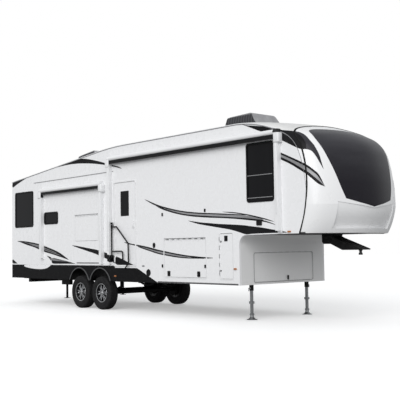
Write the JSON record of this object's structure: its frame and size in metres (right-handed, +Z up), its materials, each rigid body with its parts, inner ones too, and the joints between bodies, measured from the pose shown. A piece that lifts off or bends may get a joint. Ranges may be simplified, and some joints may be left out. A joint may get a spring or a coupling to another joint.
{
  "type": "fifth wheel travel trailer",
  "caption": "Long white fifth wheel travel trailer with a raised front over its pin box, tandem wheels, landing legs, awnings, hinged doors and a slide-out room.",
  "frame": {"origin": "on the ground at the middle of the overall box", "axes": "+X to the front, +Y to the road side, +Z up"},
  "size_m": [11.1101, 2.6799, 4.115],
  "materials": {
    "white_panel": "glossy white gelcoat panel",
    "white_cap": "moulded glossy white cap",
    "roof_membrane": "matt white roof membrane",
    "floor_board": "plywood deck",
    "inner_panel": "plain inner panel",
    "black_skirt": "satin black skirt",
    "frame_black": "black painted steel",
    "black_trim": "matt black plastic",
    "grey_lip": "grey moulded lip",
    "rubber_seal": "black gasket",
    "dark_glass": "dark tinted glass",
    "window_black": "black window frame",
    "tyre_rubber": "black tyre",
    "alloy": "cast and machined alloy",
    "steel": "bare steel",
    "white_metal": "white painted metal",
    "awning_cloth": "white coated awning cloth",
    "red_lens": "dark red lens",
    "amber_lens": "amber lens",
    "grey_zinc": "zinc plated steel",
    "graphic_black": "black vinyl stripe",
    "graphic_grey": "metallic grey vinyl stripe"
  },
  "bodies": {
    "trailer": {"floors": "floor_board", "inner_wall": "inner_panel", "wall_curb": "white_panel", "wall_road": "white_panel", "wall_rear": "white_panel", "wall_front": "white_cap", "roof": "roof_membrane", "front_cap": "white_cap", "cap_seal": "rubber_seal", "skirts": "black_skirt", "arch_lips": "grey_lip", "main_rails": "frame_black", "crossmembers": "frame_black", "belly_pan": "black_trim", "axles": "frame_black", "leaf_springs": "frame_black", "spring_hangers": "frame_black", "window_frames": "window_black", "window_panes": "dark_glass", "hinge_leaves": "white_metal", "rail_brackets": "black_trim", "slide_glides": "black_trim", "awning_rolls": "awning_cloth", "awning_arms": "white_metal", "air_conditioners": "black_trim", "roof_vents": "white_cap", "tail_lamps": "red_lens", "marker_lamps": "amber_lens", "landing_legs": "frame_black", "landing_feet": "grey_zinc", "stabilisers": "frame_black", "pin_box": "frame_black", "kingpin": "steel"},
    "entry": {"entry_door": "white_panel", "entry_pane": "dark_glass"},
    "rail": {"grab_rail": "frame_black"},
    "kitchen_flap": {"kitchen_door": "white_panel"},
    "baggage_flap_curb": {"baggage_door_curb": "white_panel"},
    "baggage_flap_road": {"baggage_door_road": "white_panel"},
    "utility_flap": {"utility_door": "white_panel"},
    "front_flap": {"front_door": "white_cap"},
    "slide_room": {"slide_box": "white_panel", "slide_wall": "white_panel", "slide_frame": "window_black", "slide_pane": "dark_glass", "slide_topper": "awning_cloth"},
    "wheel_curb_front": {"tyre_curb_front": "tyre_rubber", "rim_curb_front": "alloy"},
    "wheel_curb_rear": {"tyre_curb_rear": "tyre_rubber", "rim_curb_rear": "alloy"},
    "wheel_road_front": {"tyre_road_front": "tyre_rubber", "rim_road_front": "alloy"},
    "wheel_road_rear": {"tyre_road_rear": "tyre_rubber", "rim_road_rear": "alloy"}
  },
  "joints": [
    {"name": "entry_door_swing", "type": "hinge", "parent": "trailer", "child": "entry", "pos_m": [-0.678, -1.226, 1.955], "axis": [0, 0, -1], "range_deg": [0, 95]},
    {"name": "grab_rail_swing", "type": "hinge", "parent": "trailer", "child": "rail", "pos_m": [-0.73, -1.28, 1.5], "axis": [0, 0, -1], "range_deg": [0, 95]},
    {"name": "kitchen_door_lift", "type": "hinge", "parent": "trailer", "child": "kitchen_flap", "pos_m": [-1.855, -1.226, 2.193], "axis": [-1, 0, 0], "range_deg": [0, 90]},
    {"name": "baggage_curb_lift", "type": "hinge", "parent": "trailer", "child": "baggage_flap_curb", "pos_m": [1.745, -1.226, 1.563], "axis": [-1, 0, 0], "range_deg": [0, 100]},
    {"name": "baggage_road_lift", "type": "hinge", "parent": "trailer", "child": "baggage_flap_road", "pos_m": [1.745, 1.226, 1.563], "axis": [1, 0, 0], "range_deg": [0, 100]},
    {"name": "utility_door_swing", "type": "hinge", "parent": "trailer", "child": "utility_flap", "pos_m": [2.812, -1.226, 1.22], "axis": [0, 0, -1], "range_deg": [0, 110]},
    {"name": "front_door_lift", "type": "hinge", "parent": "trailer", "child": "front_flap", "pos_m": [3.351, 0, 1.273], "axis": [0, -1, 0], "range_deg": [0, 90]},
    {"name": "slide_room_travel", "type": "slide", "parent": "trailer", "child": "slide_room", "axis": [0, 1, 0], "range_m": [0, 0.85]},
    {"name": "wheel_curb_front_spin", "type": "hinge", "parent": "trailer", "child": "wheel_curb_front", "pos_m": [-1.29, -1.09, 0.385], "axis": [0, 1, 0], "continuous": true},
    {"name": "wheel_curb_rear_spin", "type": "hinge", "parent": "trailer", "child": "wheel_curb_rear", "pos_m": [-2.17, -1.09, 0.385], "axis": [0, 1, 0], "continuous": true},
    {"name": "wheel_road_front_spin", "type": "hinge", "parent": "trailer", "child": "wheel_road_front", "pos_m": [-1.29, 1.09, 0.385], "axis": [0, 1, 0], "continuous": true},
    {"name": "wheel_road_rear_spin", "type": "hinge", "parent": "trailer", "child": "wheel_road_rear", "pos_m": [-2.17, 1.09, 0.385], "axis": [0, 1, 0], "continuous": true}
  ],
  "couplings": [
    {"joint": "grab_rail_swing", "follows": "entry_door_swing", "ratio": 1}
  ]
}
